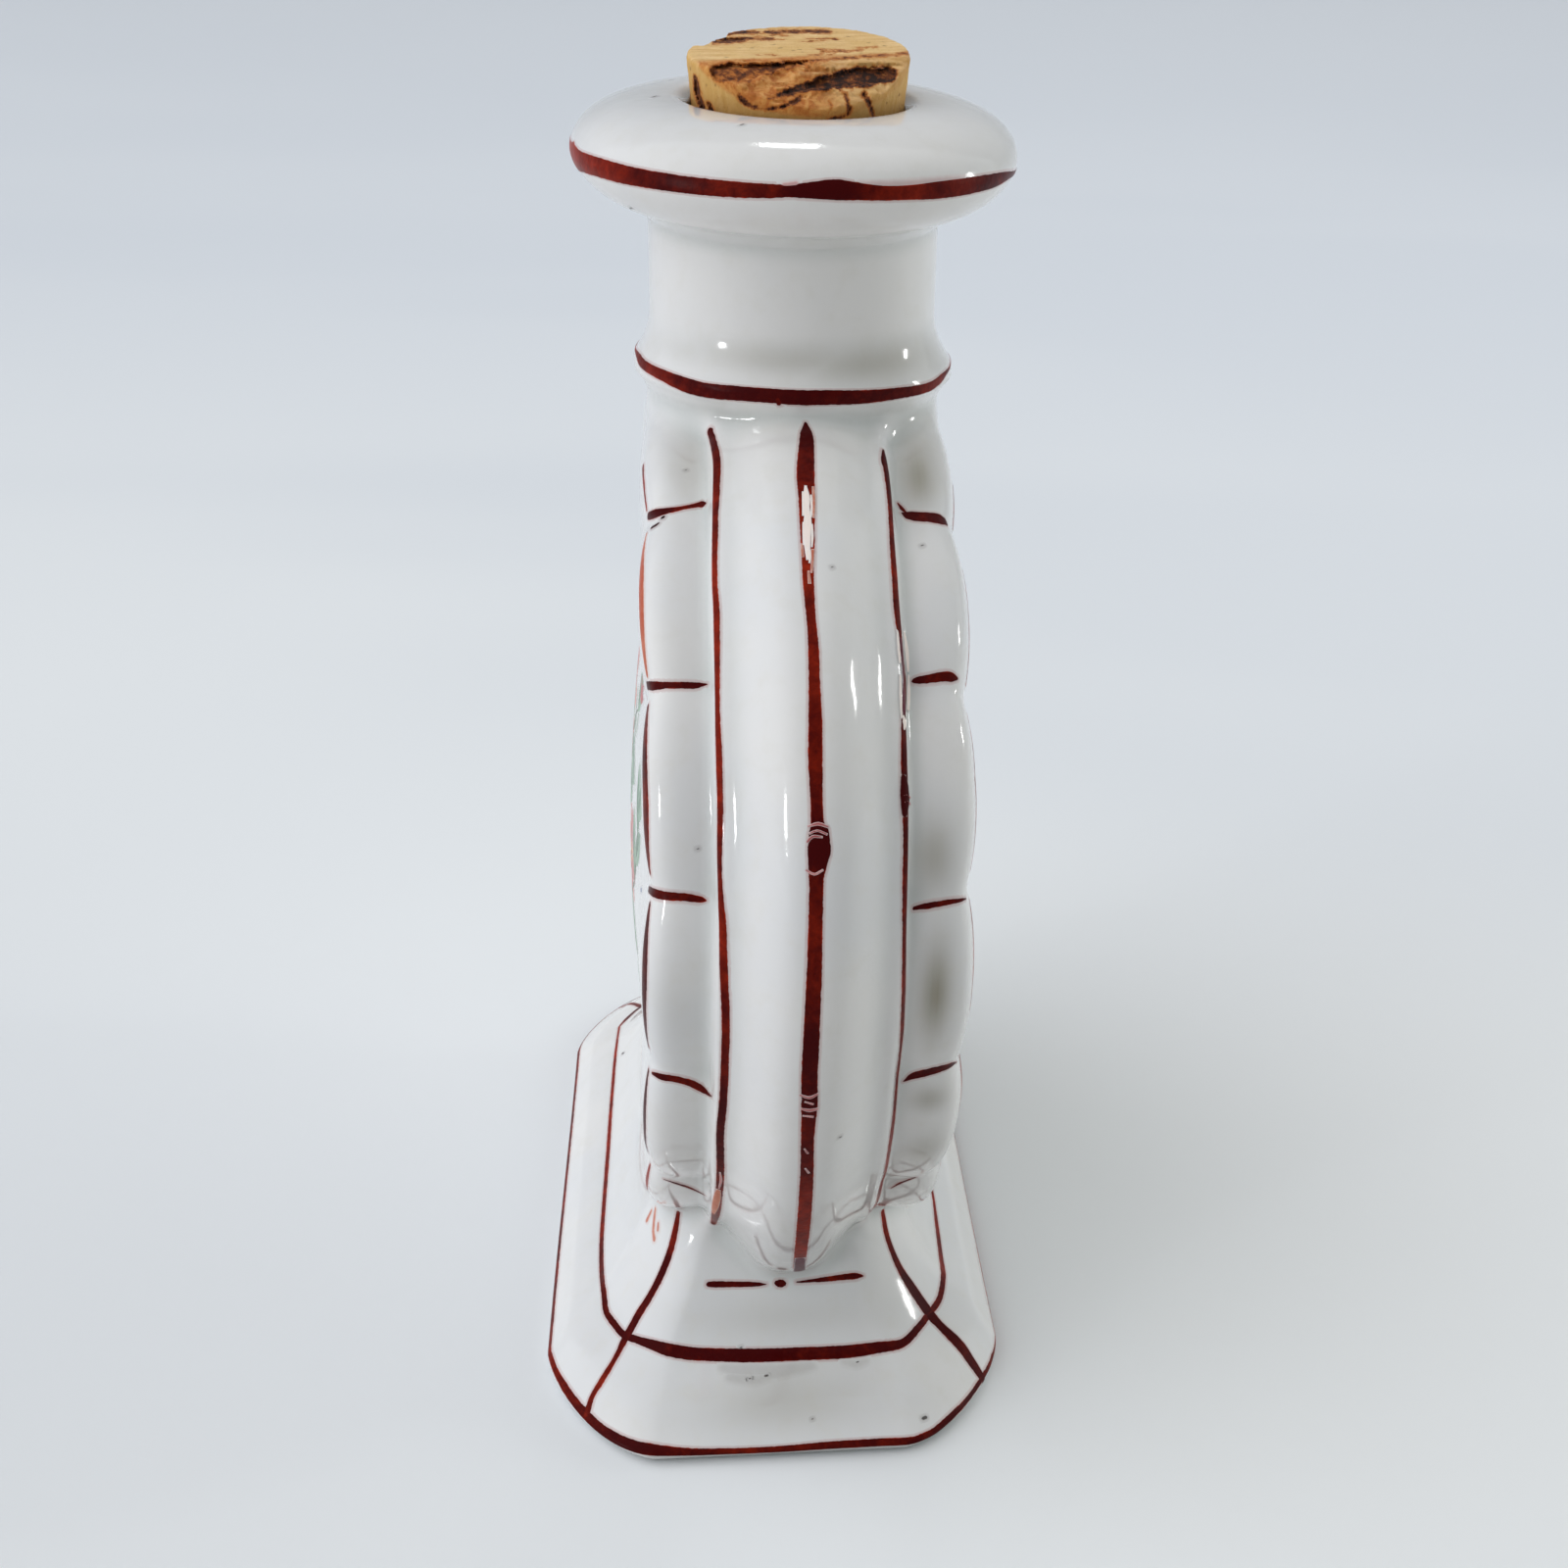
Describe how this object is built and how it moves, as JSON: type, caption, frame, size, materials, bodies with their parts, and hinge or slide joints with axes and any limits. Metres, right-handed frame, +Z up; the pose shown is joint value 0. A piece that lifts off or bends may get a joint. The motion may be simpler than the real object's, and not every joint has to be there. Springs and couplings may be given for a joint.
{
  "type": "porcelain moon flask with a cork",
  "caption": "Flattened round flask with lobed shoulders on a two-tier rectangular foot, with a ringed neck, thick rim and pull-out tapered cork.",
  "frame": {"origin": "middle of the foot's underside, in the plane that the foot ring rests on", "axes": "+X across the width of the moon, +Y through its thickness from the painted front at -Y to the back, +Z up along the neck"},
  "size_m": [0.1106, 0.0526, 0.1422],
  "materials": {
    "porcelain": "thick clear glaze over white porcelain, with iron-red enamel lines",
    "cork": "raw natural cork with dark fissures"
  },
  "bodies": {
    "flask": {"porcelain_flask": "porcelain"},
    "cork": {"cork_stopper": "cork"}
  },
  "joints": [
    {"name": "cork_pull", "type": "slide", "parent": "flask", "child": "cork", "axis": [0, 0, 1], "range_m": [0, 0.03]}
  ]
}
